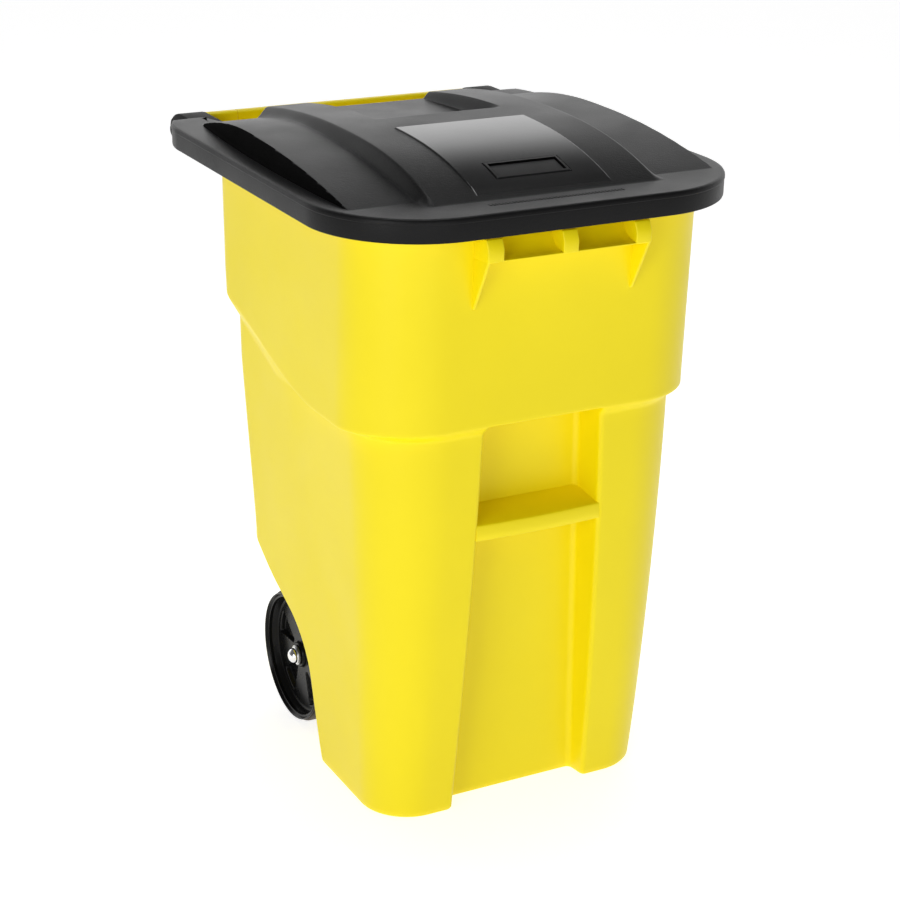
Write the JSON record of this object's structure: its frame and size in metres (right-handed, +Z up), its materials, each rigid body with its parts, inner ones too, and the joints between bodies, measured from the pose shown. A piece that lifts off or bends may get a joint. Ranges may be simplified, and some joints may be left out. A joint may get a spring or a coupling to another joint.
{
  "type": "wheeled waste bin",
  "caption": "Tall wheeled waste bin: one-piece plastic tub with raised collar, front lift bar and catch ledge, hinged dome lid, full-width rear grip and an axle with wheels.",
  "frame": {"origin": "on the ground, under the middle of the bounding box", "axes": "+Z up, -Y towards the front with the catch ledge, X along the axle"},
  "size_m": [0.5944, 0.724, 0.9267],
  "materials": {
    "yellow_plastic": "moulded polyethylene, fine texture, satin",
    "black_plastic": "moulded polyethylene, fine grain, satin",
    "zinc_steel": "zinc plated",
    "chrome": "polished",
    "nylon": "natural nylon",
    "tyre_rubber": "solid rubber tread, dusty"
  },
  "bodies": {
    "bin": {"tub": "yellow_plastic", "rear_grip": "yellow_plastic", "hinge_rod": "zinc_steel", "rod_cap_left": "black_plastic", "rod_cap_right": "black_plastic", "axle": "zinc_steel", "spacer_left": "nylon", "spacer_right": "nylon", "inner_washer_left": "zinc_steel", "inner_washer_right": "zinc_steel", "outer_washer_left": "zinc_steel", "outer_washer_right": "zinc_steel", "axle_cap_left": "chrome", "axle_cap_right": "chrome"},
    "lid_body": {"lid": "black_plastic", "lid_nameplate": "black_plastic"},
    "wheel_left_body": {"wheel_left": "black_plastic", "tyre_left": "tyre_rubber", "hub_bush_left": "nylon"},
    "wheel_right_body": {"wheel_right": "black_plastic", "tyre_right": "tyre_rubber", "hub_bush_right": "nylon"}
  },
  "joints": [
    {"name": "lid_hinge", "type": "hinge", "parent": "bin", "child": "lid_body", "pos_m": [0, 0.342, 0.855], "axis": [-1, 0, 0], "range_deg": [0, 270]},
    {"name": "wheel_left_spin", "type": "hinge", "parent": "bin", "child": "wheel_left_body", "pos_m": [-0.174, 0.0844, 0.1], "axis": [1, 0, 0], "continuous": true},
    {"name": "wheel_right_spin", "type": "hinge", "parent": "bin", "child": "wheel_right_body", "pos_m": [0.174, 0.0844, 0.1], "axis": [1, 0, 0], "continuous": true}
  ]
}
